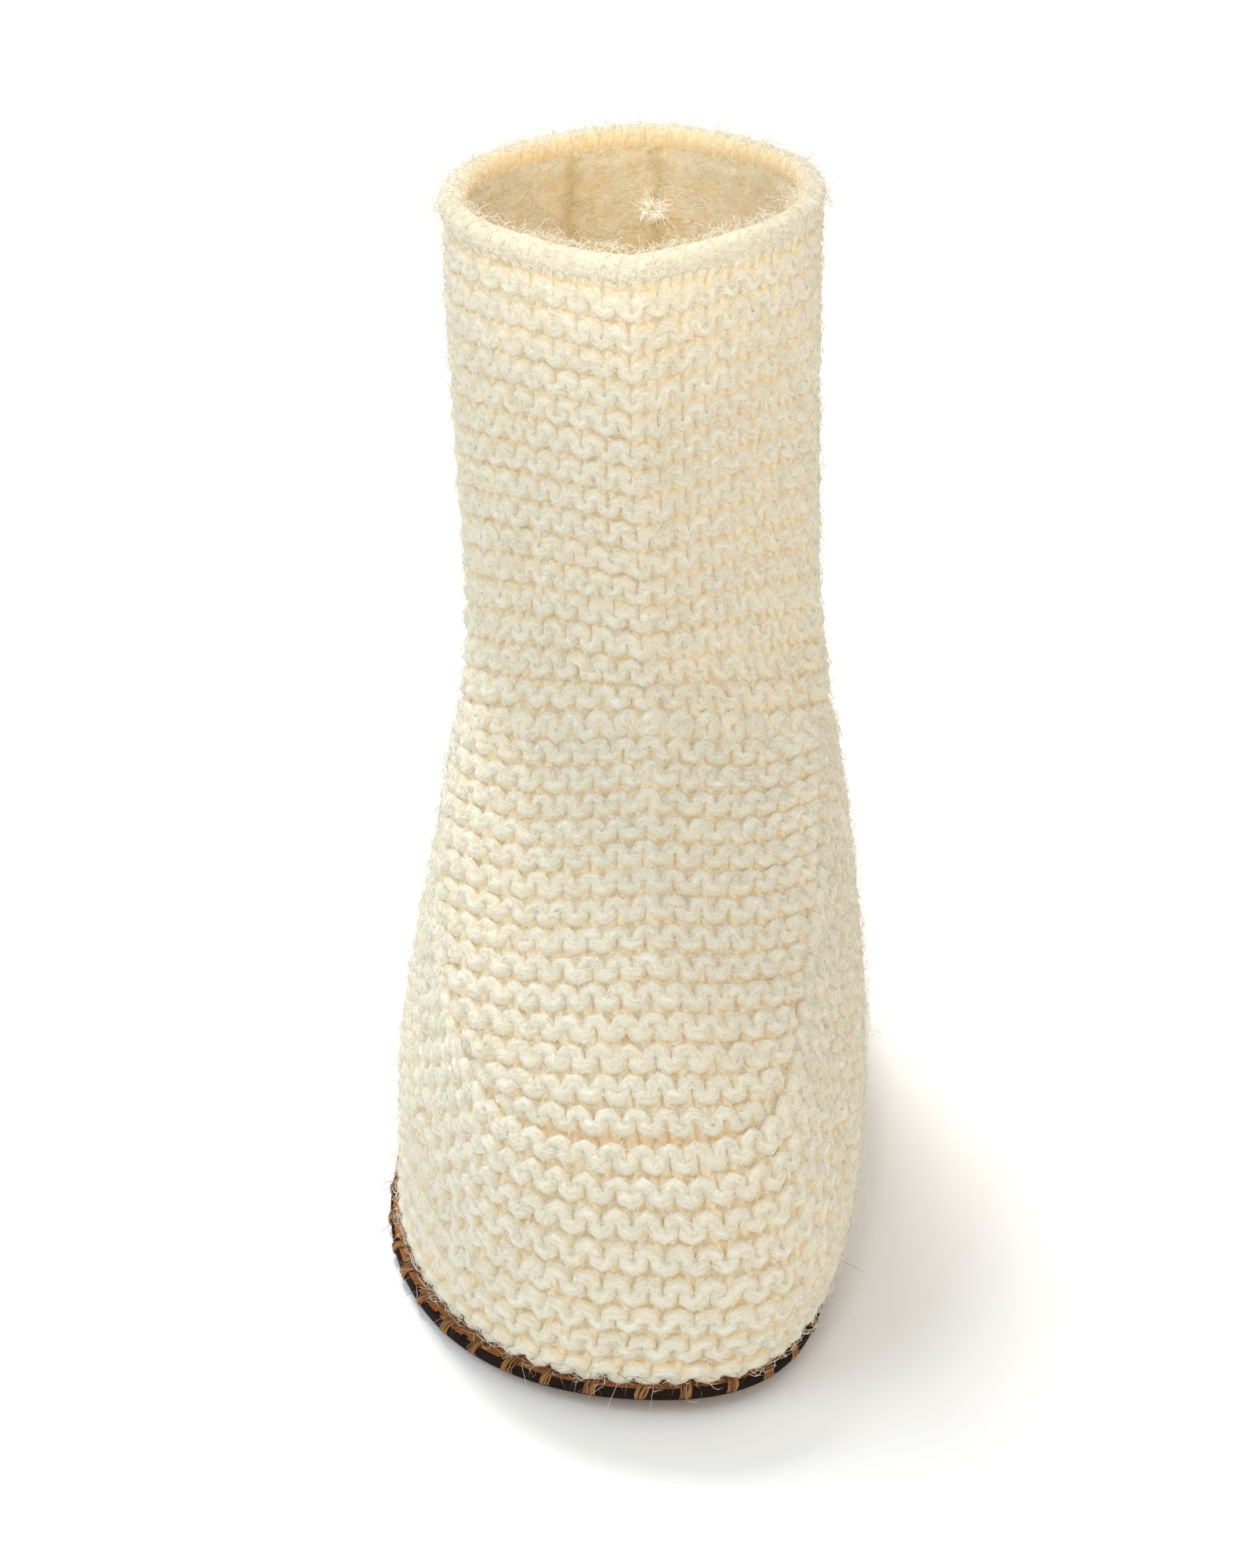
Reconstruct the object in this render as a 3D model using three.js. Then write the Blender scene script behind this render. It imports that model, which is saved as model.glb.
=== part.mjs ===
// Knitted baby slipper with a tall shaft, for the right foot.
// Millimetres, +Z up, toe towards -Y, outer side of the foot towards -X.
// The origin is under the middle of the shoe, on the plane that it stands on.
import * as THREE from 'three';

// Driving dimensions
const length = 123;             // sole, toe to heel
const ballWidth = 62;           // sole at its widest
const heelWidth = 50;           // sole across the heel
const shaftTop = 130;           // floor to the top of the shaft
const knitWall = 4;             // thickness of the knitted fabric
const rimRadius = 2.2;          // rolled edge at the collar
const soleThickness = 2.5;      // one layer of leather
const insoleThickness = 2.6;    // felt
const gap = 0.3;                // between pieces that touch
const toeReach = length / 2;
const heelReach = length / 2;

// Shape of the last, seen from above
const toeSwing = 8;             // the toe leans to the inner side of the foot
const waistSwing = -1.5;        // the waist leans to the outer side
const swingStart = -12;         // y where the toe begins to lean
const waistFront = -5;          // y from where the waist's lean has its full size
const waistBack = 45;           // y where it has died away
const archWaist = 1.6;          // hollow of the sole on the inner side
const archPlace = 16;           // y of the deepest hollow
const archSpan = 20;
const archTop = 40;             // height where the upper has lost the hollow
const ballPlace = -18;          // y of the sole's widest place
const heelTaper = 1.25;         // how early the outline reaches its heel width

// Shape of the sole, seen from the side
const toeSpring = 2.2;
const springStart = -42;        // y where the toe begins to rise
const archLift = 0.7;
const forefootEnd = -4;         // flat on the floor from springStart to here
const heelStart = 26;           // flat on the floor behind this y
const edgeLift = 1;             // the rim of the sole's underside is rounded up
const edgeBand = 0.84;          // share of the sole's width that stays flat
const topRound = 0.5;           // rounding of the sole's upper edge

// Seam of the rounded instep flap, and the folds of the shaft
const seamHeight = 35;          // at the toe
const ankleSeamHeight = 55;     // where the seam ends beside the ankle
const heelSeamHeight = 44;      // the same knitted row at the back of the heel
const seamRiseStart = 30;       // turn in degrees, 0 at the toe and 180 at the heel
const seamRiseEnd = 95;
const troughDepth = 1.2;
const troughHalf = 1.8;
const frontFold = 0.9;          // soft pressed fold down the front
const backFold = 0.6;
const foldSpread = 0.3;         // in radians of turn
const foldStart = 0.8;          // level where the folds begin, 1 is the seam's row
const seamFade = 12;            // degrees in which the trough dies away

// Sections of the knitted upper at rising heights. toe and heel are shares of the
// reach, ball and heelHalf are shares of the half widths, wide is the y of the
// widest place, toeRound and heelRound say how full the two ends are, and lean
// moves the section to the inner side.
const upperColumns = ['height', 'toe', 'wide', 'heel', 'ball', 'heelHalf', 'toeRound', 'heelRound', 'lean'];
const upperRows = [
  [2.8, 0.940, -16, 0.925, 0.930, 0.955, 2.25, 3.2, 0.3],
  [7, 0.984, -16, 0.962, 1.000, 1.010, 2.30, 3.2, 1.2],
  [14, 0.988, -14, 0.978, 1.025, 1.040, 2.35, 3.1, 2.2],
  [22, 0.950, -11, 0.978, 1.030, 1.045, 2.35, 3.0, 2.5],
  [30, 0.866, -7, 0.970, 1.005, 1.040, 2.35, 2.85, 2.5],
  [38, 0.709, -1, 0.959, 0.955, 1.025, 2.35, 2.65, 2.4],
  [46, 0.489, 8, 0.949, 0.900, 1.005, 2.30, 2.45, 2.1],
  [52, 0.275, 16, 0.942, 0.860, 0.995, 2.25, 2.3, 1.7],
  [57, 0.070, 24, 0.936, 0.830, 0.980, 2.20, 2.2, 1.3],
  [62, -0.100, 31, 0.932, 0.802, 0.970, 2.15, 2.15, 0.9],
  [68, -0.200, 35, 0.930, 0.788, 0.965, 2.10, 2.1, 0.6],
  [78, -0.248, 36.5, 0.930, 0.785, 0.968, 2.10, 2.1, 0.5],
  [100, -0.260, 36.8, 0.936, 0.803, 0.994, 2.10, 2.1, 0.4],
  [130, -0.254, 37, 0.949, 0.832, 1.032, 2.10, 2.1, 0.4],
];

// Mesh density
const turns = 64;                                         // points around each section
const wallLevels = [0, 0.12, 0.27, 0.43, 0.6, 0.78, 1];   // share from the sole to the seam
const shaftLevels = [0.045, 0.09, 0.14, 0.19, 0.24, 0.29, 0.35, 0.43, 0.54, 0.66, 0.78, 0.9, 1];
const rimSteps = 6;
const troughRow = 0.024;        // level from the seam's row to the close row above it
const troughRowBelow = 0.055;   // and to the close row below it
const slopeStep = 0.01;         // step used to measure the surface's slope
const soleRings = [1, 0.94, 0.84, 0.62, 0.36];
const insoleRings = [1, 0.7, 0.36];

const radians = Math.PI / 180;

function clamp01(value) {
  return Math.min(1, Math.max(0, value));
}

function smooth01(value) {
  const t = clamp01(value);
  return t * t * (3 - 2 * t);
}

// Smooth curve through one column of a table, which never overshoots its rows.
function columnCurve(columns, rows, name) {
  const column = columns.indexOf(name);
  const xs = rows.map((row) => row[0]);
  const ys = rows.map((row) => row[column]);
  const steps = xs.slice(1).map((x, i) => x - xs[i]);
  const slopes = steps.map((step, i) => (ys[i + 1] - ys[i]) / step);
  const tangents = ys.map((_, i) => {
    if (i === 0) {
      return slopes[0];
    }
    if (i === slopes.length) {
      return slopes[slopes.length - 1];
    }
    if (slopes[i - 1] * slopes[i] <= 0) {
      return 0;
    }
    const before = 2 * steps[i] + steps[i - 1];
    const after = steps[i] + 2 * steps[i - 1];
    return (before + after) / (before / slopes[i - 1] + after / slopes[i]);
  });
  return (x) => {
    let i = 0;
    while (i < steps.length - 1 && x > xs[i + 1]) {
      i += 1;
    }
    const t = clamp01((x - xs[i]) / steps[i]);
    const rise = ys[i + 1] - ys[i];
    const start = tangents[i] * steps[i];
    const end = tangents[i + 1] * steps[i];
    return ys[i] + start * t + (3 * rise - 2 * start - end) * t * t + (start + end - 2 * rise) * t * t * t;
  };
}

const section = Object.fromEntries(
  upperColumns.slice(1).map((name) => [name, columnCurve(upperColumns, upperRows, name)]),
);

// Middle line of the foot, seen from above.
function footMiddle(y) {
  const toward = clamp01((swingStart - y) / (toeReach + swingStart));
  const waist = clamp01((waistBack - y) / (waistBack - waistFront));
  return waistSwing * waist + toeSwing * toward * toward;
}

// Closed outline made of a toe half and a heel half that meet at the widest place.
// turn runs from -180 to 180 degrees with 0 at the toe and 90 on the inner side.
function outlinePoint(shape, turn) {
  const along = Math.cos(turn);
  const across = Math.sin(turn);
  const power = 2 / (along > 0 ? shape.toeRound : shape.heelRound);
  const reach = along > 0 ? shape.wide - shape.toe : shape.heel - shape.wide;
  const y = shape.wide - Math.sign(along) * Math.abs(along) ** power * reach;
  const back = (y - shape.wide) / (shape.heel - shape.wide);
  const half = shape.ball + (shape.heelHalf - shape.ball) * smooth01(back * heelTaper);
  const waist = across > 0 ? archWaist * shape.arch * Math.exp(-(((y - archPlace) / archSpan) ** 2)) : 0;
  const x = footMiddle(y) + shape.lean + Math.sign(across) * Math.abs(across) ** power * (half - waist);
  return new THREE.Vector2(x, y);
}

function upperShape(height) {
  return {
    toe: -section.toe(height) * toeReach,
    wide: section.wide(height),
    heel: section.heel(height) * heelReach,
    ball: section.ball(height) * ballWidth / 2,
    heelHalf: section.heelHalf(height) * heelWidth / 2,
    toeRound: section.toeRound(height),
    heelRound: section.heelRound(height),
    lean: section.lean(height),
    arch: clamp01(1 - height / archTop),
  };
}

const soleShape = {
  toe: -toeReach,
  wide: ballPlace,
  heel: heelReach,
  ball: ballWidth / 2,
  heelHalf: heelWidth / 2,
  toeRound: 2.2,
  heelRound: 3.3,
  lean: -0.5,
  arch: 1,
};

// Height of the sole's underside above the floor along its middle.
function soleRise(y) {
  const spring = clamp01((springStart - y) / (toeReach + springStart));
  const arch = clamp01((y - forefootEnd) / (heelStart - forefootEnd));
  return toeSpring * spring * spring + archLift * Math.sin(Math.PI * arch) ** 2;
}

function soleTop(y) {
  return soleRise(y) + soleThickness;
}

// Height of the flap's seam, and of the knitted row that carries it on round the heel.
function seamLevel(turn) {
  const angle = Math.abs(turn) / radians;
  const rise = smooth01((angle - seamRiseStart) / (seamRiseEnd - seamRiseStart));
  const fall = smooth01((angle - seamRiseEnd) / (180 - seamRiseEnd));
  return seamHeight + (ankleSeamHeight - seamHeight) * rise - (ankleSeamHeight - heelSeamHeight) * fall;
}

// Point of the smooth outer surface. level 0 is the sole, 1 the seam's row, 2 the collar.
function smoothUpperPoint(level, turn) {
  const start = upperShape(upperRows[0][0]);
  const foot = soleTop(outlinePoint(start, turn).y) + gap;
  const seam = seamLevel(turn);
  const top = shaftTop - rimRadius;
  const height = level <= 1 ? foot + (seam - foot) * level : seam + (top - seam) * (level - 1);
  const flat = outlinePoint(upperShape(height), turn);
  return new THREE.Vector3(flat.x, flat.y, height);
}

function upperNormal(level, turn) {
  const around = smoothUpperPoint(level, turn + slopeStep).sub(smoothUpperPoint(level, turn - slopeStep));
  const low = Math.max(0, level - slopeStep);
  const high = Math.min(2, level + slopeStep);
  const upward = smoothUpperPoint(high, turn).sub(smoothUpperPoint(low, turn));
  return around.cross(upward).normalize();
}

// Outer surface with the pressed folds and the seam's trough as steps in the wall.
function outerPoint(level, turn) {
  const fromToe = Math.abs(turn);
  const fromHeel = Math.PI - fromToe;
  const shaft = smooth01(level - foldStart);
  const front = frontFold * Math.exp(-((fromToe / foldSpread) ** 2));
  const back = backFold * Math.exp(-((fromHeel / foldSpread) ** 2));
  const seam = smoothUpperPoint(1, turn).distanceTo(smoothUpperPoint(level, turn));
  const ended = smooth01((fromToe / radians - seamRiseEnd) / seamFade);
  const trough = troughDepth * (1 - smooth01(seam / troughHalf)) * (1 - ended);
  const proud = shaft * (front + back) - trough;
  return smoothUpperPoint(level, turn).addScaledVector(upperNormal(level, turn), proud);
}

function innerPoint(level, turn) {
  const normal = upperNormal(level, turn);
  const inner = smoothUpperPoint(level, turn).addScaledVector(normal, -knitWall);
  const floor = soleTop(inner.y) + gap;
  inner.z = level === 0 ? floor : Math.max(inner.z, floor);
  return inner;
}

// Closed mesh from rings of equal length. The rings join each other in turn, and
// wrap joins the last to the first, or else both ends are closed with a fan.
function ringMesh(rings, wrap) {
  const count = rings[0].length;
  const points = rings.flat();
  const faces = [];
  const bands = wrap ? rings.length : rings.length - 1;
  for (let band = 0; band < bands; band += 1) {
    const lower = band * count;
    const upper = ((band + 1) % rings.length) * count;
    for (let i = 0; i < count; i += 1) {
      const next = (i + 1) % count;
      faces.push(lower + i, lower + next, upper + next);
      faces.push(lower + i, upper + next, upper + i);
    }
  }
  if (!wrap) {
    for (const [start, flip] of [[0, true], [points.length - count, false]]) {
      const ring = points.slice(start, start + count);
      const middle = ring.reduce((sum, p) => sum.add(p), new THREE.Vector3()).divideScalar(count);
      points.push(middle);
      for (let i = 0; i < count; i += 1) {
        const next = (i + 1) % count;
        const fan = [start + i, start + next, points.length - 1];
        faces.push(...(flip ? [fan[1], fan[0], fan[2]] : fan));
      }
    }
  }
  const geometry = new THREE.BufferGeometry();
  geometry.setAttribute('position', new THREE.Float32BufferAttribute(points.flatMap((p) => p.toArray()), 3));
  geometry.setIndex(faces);
  geometry.computeVertexNormals();
  return geometry;
}

function turnAngles() {
  return Array.from({ length: turns }, (_, i) => -Math.PI + (2 * Math.PI * i) / turns);
}

function ring(pointAt) {
  return turnAngles().map(pointAt);
}

// Levels of the upper, with three close rows that hold the seam's trough.
function upperLevels() {
  const wall = wallLevels.slice(0, -1);
  return [...wall, 1 - troughRowBelow, 1, 1 + troughRow, ...shaftLevels.map((share) => 1 + share)];
}

// One hollow solid: outer face up, rolled rim, inner face down, open at both ends.
function knitUpper() {
  const levels = upperLevels();
  const outer = levels.map((level) => ring((turn) => outerPoint(level, turn)));
  const rim = [];
  for (let step = 1; step < rimSteps; step += 1) {
    const angle = (Math.PI * step) / rimSteps;
    rim.push(ring((turn) => {
      const edge = outerPoint(2, turn);
      const inside = innerPoint(2, turn);
      const middle = edge.clone().add(inside).multiplyScalar(0.5);
      const half = edge.clone().sub(middle);
      middle.addScaledVector(half, Math.cos(angle));
      middle.z += rimRadius * Math.sin(angle);
      return middle;
    }));
  }
  const inner = levels.map((level) => ring((turn) => innerPoint(level, turn))).reverse();
  return ringMesh([...outer, ...rim, ...inner], true);
}

// Point of an outline pulled towards the middle line of the foot.
function pulledIn(flat, middleY, share) {
  const centre = new THREE.Vector2(footMiddle(middleY), middleY);
  return centre.lerp(flat, share);
}

function leatherSole() {
  const flatRing = (share, heightAt) => ring((turn) => {
    const flat = pulledIn(outlinePoint(soleShape, turn), 0, share);
    return new THREE.Vector3(flat.x, flat.y, heightAt(flat.y));
  });
  const under = soleRings.map((share) => {
    const lift = edgeLift * smooth01((share - edgeBand) / (1 - edgeBand));
    return flatRing(share, (y) => soleRise(y) + lift);
  });
  const upperRings = soleRings.map((share) => {
    const drop = share === 1 ? topRound : 0;
    return flatRing(share, (y) => soleTop(y) - drop);
  });
  return ringMesh([...under.reverse(), ...upperRings], false);
}

function woolInsole() {
  const side = (turn) => {
    const inner = innerPoint(0, turn);
    const next = innerPoint(0, turn + slopeStep);
    const along = next.sub(inner).setZ(0).normalize();
    return new THREE.Vector2(inner.x - along.y * gap, inner.y + along.x * gap);
  };
  const felt = (share, lift) => ring((turn) => {
    const flat = pulledIn(side(turn), 0, share);
    return new THREE.Vector3(flat.x, flat.y, soleTop(flat.y) + gap + lift);
  });
  const under = insoleRings.map((share) => felt(share, 0));
  const above = insoleRings.map((share) => felt(share, insoleThickness));
  return ringMesh([...under.reverse(), ...above], false);
}

function piece(name, geometry, color, roughness) {
  const material = new THREE.MeshStandardMaterial({ color, roughness, metalness: 0 });
  const mesh = new THREE.Mesh(geometry, material);
  mesh.name = name;
  return mesh;
}

const slipper = new THREE.Group();
slipper.add(piece('leather_sole', leatherSole(), 0x9a6a3c, 0.8));
slipper.add(piece('wool_insole', woolInsole(), 0xe8dcc2, 0.95));
slipper.add(piece('knit_upper', knitUpper(), 0xf1ebdc, 0.95));

export default slipper;
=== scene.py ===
import math

import bmesh
import bpy
import numpy as np
from mathutils import Matrix, Vector


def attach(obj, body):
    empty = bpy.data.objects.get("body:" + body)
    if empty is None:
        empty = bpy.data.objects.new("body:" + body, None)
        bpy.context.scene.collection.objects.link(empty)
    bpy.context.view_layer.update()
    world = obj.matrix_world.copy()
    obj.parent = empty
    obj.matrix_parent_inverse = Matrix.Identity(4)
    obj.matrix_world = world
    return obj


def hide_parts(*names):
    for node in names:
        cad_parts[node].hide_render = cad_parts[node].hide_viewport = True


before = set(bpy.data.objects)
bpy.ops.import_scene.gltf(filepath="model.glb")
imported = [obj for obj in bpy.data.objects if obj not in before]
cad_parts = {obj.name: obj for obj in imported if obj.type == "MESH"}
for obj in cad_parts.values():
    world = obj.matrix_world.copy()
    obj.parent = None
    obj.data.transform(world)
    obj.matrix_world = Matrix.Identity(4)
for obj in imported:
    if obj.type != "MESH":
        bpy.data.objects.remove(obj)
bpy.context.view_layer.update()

mm = 0.001                  # all shapes are worked out in millimetres
rng = np.random.default_rng(7)
print("frame loaded")

# The photo's camera stands to the right of the shoe and looks at its middle
camera = {
    "place": (42.0, -426.5, 333.0),
    "aim": (0.5, -3.0, 60.5),
    "lens": 86.0,
    "roll": -1.9,           # degrees
}


def makeCamera(facts):
    data = bpy.data.cameras.new("photoCamera")
    data.lens = facts["lens"]
    data.sensor_width = 36
    data.clip_start = 0.01
    obj = bpy.data.objects.new("photoCamera", data)
    bpy.context.collection.objects.link(obj)
    place = Vector(facts["place"]) * mm
    look = Vector(facts["aim"]) * mm - place
    turn = look.to_track_quat("-Z", "Y").to_matrix().to_4x4()
    roll = Matrix.Rotation(math.radians(facts["roll"]), 4, "Z")
    obj.matrix_world = Matrix.Translation(place) @ turn @ roll
    bpy.context.scene.camera = obj


makeCamera(camera)
print("camera placed")

# Form of the shoe, the same sections and sizes as its solids
shoe = {
    "reach": 61.5,          # half the sole's length
    "ballHalf": 31.0,
    "heelHalf": 25.0,
    "top": 130.0,
    "wall": 4.0,
    "gap": 0.3,
    "soleThickness": 2.5,
    "insoleThickness": 2.6,
}
last = {
    "toeSwing": 8.0, "waistSwing": -1.5, "swingStart": -12.0, "waistFront": -5.0, "waistBack": 45.0,
    "archWaist": 1.6, "archPlace": 16.0, "archSpan": 20.0, "archTop": 40.0, "heelTaper": 1.25,
    "toeSpring": 2.2, "springStart": -42.0, "archLift": 0.7, "forefootEnd": -4.0, "heelStart": 26.0,
}
seam = {
    "toeHeight": 35.0, "ankleHeight": 55.0, "heelHeight": 44.0,
    "riseStart": 30.0, "riseEnd": 95.0, "behind": 32.0,     # degrees from the toe's middle
    "trough": 1.4, "troughHalf": 1.7, "troughFade": 48.0, "troughEnd": 88.0,
    "frontFold": 0.9, "backFold": 0.6, "foldSpread": 0.3, "foldStart": 0.8,
    "overhang": 1.1, "overhangHeight": 7.0,
}
# The shaft was stored flat, which left a crease down its front and its back
crease = {
    "front": {"raise": 2.6, "width": 9.0, "fade": (28.0, 52.0)},
    "back": {"raise": 0.7, "width": 5.5, "fade": (46.0, 66.0)},
    "turns": (0.15, 0.06), "turnHeights": (45.0, 120.0),    # the front one lies beside the middle
    "flank": 0.7, "flankAt": 18.0, "flankWidth": 8.0,       # the cloth beside a crease is flatter
}
sectionColumns = ("height", "toe", "wide", "heel", "ball", "heelHalf", "toeRound", "heelRound", "lean")
sectionRows = np.array([
    (2.8, 0.940, -16, 0.925, 0.930, 0.955, 2.25, 3.2, 0.3),
    (7, 0.984, -16, 0.962, 1.000, 1.010, 2.30, 3.2, 1.2),
    (14, 0.988, -14, 0.978, 1.025, 1.040, 2.35, 3.1, 2.2),
    (22, 0.950, -11, 0.978, 1.030, 1.045, 2.35, 3.0, 2.5),
    (30, 0.866, -7, 0.970, 1.005, 1.040, 2.35, 2.85, 2.5),
    (38, 0.709, -1, 0.959, 0.955, 1.025, 2.35, 2.65, 2.4),
    (46, 0.489, 8, 0.949, 0.900, 1.005, 2.30, 2.45, 2.1),
    (52, 0.275, 16, 0.942, 0.860, 0.995, 2.25, 2.3, 1.7),
    (57, 0.070, 24, 0.936, 0.830, 0.980, 2.20, 2.2, 1.3),
    (62, -0.100, 31, 0.932, 0.802, 0.970, 2.15, 2.15, 0.9),
    (68, -0.200, 35, 0.930, 0.788, 0.965, 2.10, 2.1, 0.6),
    (78, -0.248, 36.5, 0.930, 0.785, 0.968, 2.10, 2.1, 0.5),
    (100, -0.260, 36.8, 0.936, 0.803, 0.994, 2.10, 2.1, 0.4),
    (130, -0.254, 37, 0.949, 0.832, 1.032, 2.10, 2.1, 0.4),
])
soleShape = {
    "toe": -61.5, "wide": -18.0, "heel": 61.5, "ball": 31.0, "heelHalf": 25.0,
    "toeRound": 2.2, "heelRound": 3.3, "lean": -0.5, "arch": 1.0,
}
allRound = np.linspace(-np.pi, np.pi, 721)      # turns round the shoe, 0 at the toe and pi at the heel


def smooth01(value):
    t = np.clip(value, 0, 1)
    return t * t * (3 - 2 * t)


def columnCurve(name):
    # smooth curve through one column of the sections, without overshoot
    xs = sectionRows[:, 0]
    ys = sectionRows[:, sectionColumns.index(name)]
    steps = np.diff(xs)
    slopes = np.diff(ys) / steps
    tangents = np.empty(len(xs))
    tangents[0] = slopes[0]
    tangents[-1] = slopes[-1]
    for i in range(1, len(slopes)):
        before = 2 * steps[i] + steps[i - 1]
        after = steps[i] + 2 * steps[i - 1]
        flat = slopes[i - 1] * slopes[i] <= 0
        tangents[i] = 0 if flat else (before + after) / (before / slopes[i - 1] + after / slopes[i])

    def curve(x):
        i = np.clip(np.searchsorted(xs, x) - 1, 0, len(steps) - 1)
        t = np.clip((x - xs[i]) / steps[i], 0, 1)
        rise = ys[i + 1] - ys[i]
        start = tangents[i] * steps[i]
        end = tangents[i + 1] * steps[i]
        return ys[i] + start * t + (3 * rise - 2 * start - end) * t**2 + (start + end - 2 * rise) * t**3

    return curve


section = {name: columnCurve(name) for name in sectionColumns[1:]}


def footMiddle(y):
    toward = np.clip((last["swingStart"] - y) / (shoe["reach"] + last["swingStart"]), 0, 1)
    waist = np.clip((last["waistBack"] - y) / (last["waistBack"] - last["waistFront"]), 0, 1)
    return last["waistSwing"] * waist + last["toeSwing"] * toward**2


def outline(shape, turn):
    # across and along the foot, with the inner side of the foot positive
    along, across = np.cos(turn), np.sin(turn)
    front = along > 0
    power = 2 / np.where(front, shape["toeRound"], shape["heelRound"])
    reach = np.where(front, shape["wide"] - shape["toe"], shape["heel"] - shape["wide"])
    y = shape["wide"] - np.sign(along) * np.abs(along) ** power * reach
    back = (y - shape["wide"]) / (shape["heel"] - shape["wide"])
    half = shape["ball"] + (shape["heelHalf"] - shape["ball"]) * smooth01(back * last["heelTaper"])
    hollow = last["archWaist"] * shape["arch"] * np.exp(-(((y - last["archPlace"]) / last["archSpan"]) ** 2))
    half = half - np.where(across > 0, hollow, 0)
    return footMiddle(y) + shape["lean"] + np.sign(across) * np.abs(across) ** power * half, y


def upperShape(height):
    sizes = {"toe": -shoe["reach"], "heel": shoe["reach"],
             "ball": shoe["ballHalf"], "heelHalf": shoe["heelHalf"]}
    shape = {name: curve(height) * sizes.get(name, 1) for name, curve in section.items()}
    return dict(shape, arch=np.clip(1 - height / last["archTop"], 0, 1))


def soleRise(y):
    spring = np.clip((last["springStart"] - y) / (shoe["reach"] + last["springStart"]), 0, 1)
    arch = np.clip((y - last["forefootEnd"]) / (last["heelStart"] - last["forefootEnd"]), 0, 1)
    return last["toeSpring"] * spring**2 + last["archLift"] * np.sin(np.pi * arch) ** 2


def footHeight(turn):
    base = upperShape(sectionRows[0, 0] + 0 * turn)
    return soleRise(outline(base, turn)[1]) + shoe["soleThickness"] + shoe["gap"]


def seamHeight(turn):
    angle = np.degrees(np.abs(turn))
    rise = smooth01((angle - seam["riseStart"]) / (seam["riseEnd"] - seam["riseStart"]))
    fall = smooth01((angle - seam["riseEnd"]) / (180 - seam["riseEnd"]))
    up = (seam["ankleHeight"] - seam["toeHeight"]) * rise
    return seam["toeHeight"] + up - (seam["ankleHeight"] - seam["heelHeight"]) * fall


def upperPoint(height, turn):
    x, y = outline(upperShape(height), turn)
    return np.stack([x, y, height + 0 * turn], axis=-1)


def upperNormal(height, turn):
    turnStep, heightStep = 0.01, 0.4
    around = upperPoint(height, turn + turnStep) - upperPoint(height, turn - turnStep)
    upward = upperPoint(height + heightStep, turn) - upperPoint(height - heightStep, turn)
    normal = np.cross(around, upward)
    return normal / np.linalg.norm(normal, axis=-1, keepdims=True)


# The knitting stands fuller than its solid at the ankle, most on the outer side
fullness = {
    "height": (0, 12, 22, 35, 48, 58, 67, 84, 100, 115, 126),
    "outer": (0.2, 0.2, 0.2, 0.3, 0.3, 0.7, 1.4, 1.5, 1.2, 0.8, 0.3),
    "inner": (0.0, 0.1, 0.5, 0.9, 1.2, 1.0, 0.9, 0.8, 0.4, 0.1, 0.1),
    "sides": 1.5,           # higher keeps it nearer to the very sides
}


def sideFullness(height, turn):
    outer = np.interp(height, fullness["height"], fullness["outer"])
    inner = np.interp(height, fullness["height"], fullness["inner"])
    return np.where(turn > 0, inner, outer) * np.abs(np.sin(turn)) ** fullness["sides"]


def creaseHeight(height, turn):
    # a ridge down the front and a lower one down the back
    point = upperPoint(height, turn)
    front = np.interp(height, crease["turnHeights"], crease["turns"])
    raised = 0
    for middle, ridge in ((front, crease["front"]), (np.pi, crease["back"])):
        start, end = ridge["fade"]
        fade = smooth01((height - start) / (end - start))
        away = np.linalg.norm(point - upperPoint(height, middle + 0 * turn), axis=-1)
        flank = crease["flank"] * np.exp(-(((away - crease["flankAt"]) / crease["flankWidth"]) ** 2))
        raised = raised + fade * (ridge["raise"] * np.exp(-away / ridge["width"]) - flank)
    return raised


def wallPoint(height, turn, proud=0.0):
    # point on the outer face, with the pressed folds and the flap's seam, and its normal
    level = (height - seamHeight(turn)) / (shoe["top"] - seam["toeHeight"])
    shaft = smooth01(level + 1 - seam["foldStart"])
    over = seam["overhang"] * smooth01(1 - (height - footHeight(turn)) / seam["overhangHeight"])
    toe = np.abs((turn + np.pi) % (2 * np.pi) - np.pi)
    folds = seam["frontFold"] * np.exp(-((toe / seam["foldSpread"]) ** 2))
    folds = folds + seam["backFold"] * np.exp(-(((np.pi - toe) / seam["foldSpread"]) ** 2))
    away = np.linalg.norm(upperPoint(height, turn) - upperPoint(seamHeight(turn), turn), axis=-1)
    ended = smooth01((np.degrees(toe) - seam["troughFade"]) / (seam["troughEnd"] - seam["troughFade"]))
    trough = seam["trough"] * (1 - smooth01(away / seam["troughHalf"])) * (1 - ended)
    normal = upperNormal(height, turn)
    out = shaft * folds - trough + over + creaseHeight(height, turn) + sideFullness(height, turn) + proud
    return upperPoint(height, turn) + normal * out[..., None], normal


print("form ready")


# Materials

def setInputs(tree, node, inputs):
    # an input takes a plain value, or a link from another node's output
    for name, value in inputs.items():
        if isinstance(value, bpy.types.NodeSocket):
            tree.links.new(value, node.inputs[name])
        else:
            node.inputs[name].default_value = value


def addNode(tree, kind, inputs, **settings):
    node = tree.nodes.new(kind)
    for name, value in settings.items():
        setattr(node, name, value)
    setInputs(tree, node, inputs)
    return node.outputs


def addNoise(tree, vector, scale, detail, roughness=0.5, distortion=0.0):
    return addNode(tree, "ShaderNodeTexNoise", {"Vector": vector, "Scale": scale, "Detail": detail,
                                                "Roughness": roughness, "Distortion": distortion})["Fac"]


def addMath(tree, operation, *values):
    return addNode(tree, "ShaderNodeMath", dict(enumerate(values)), operation=operation)[0]


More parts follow.
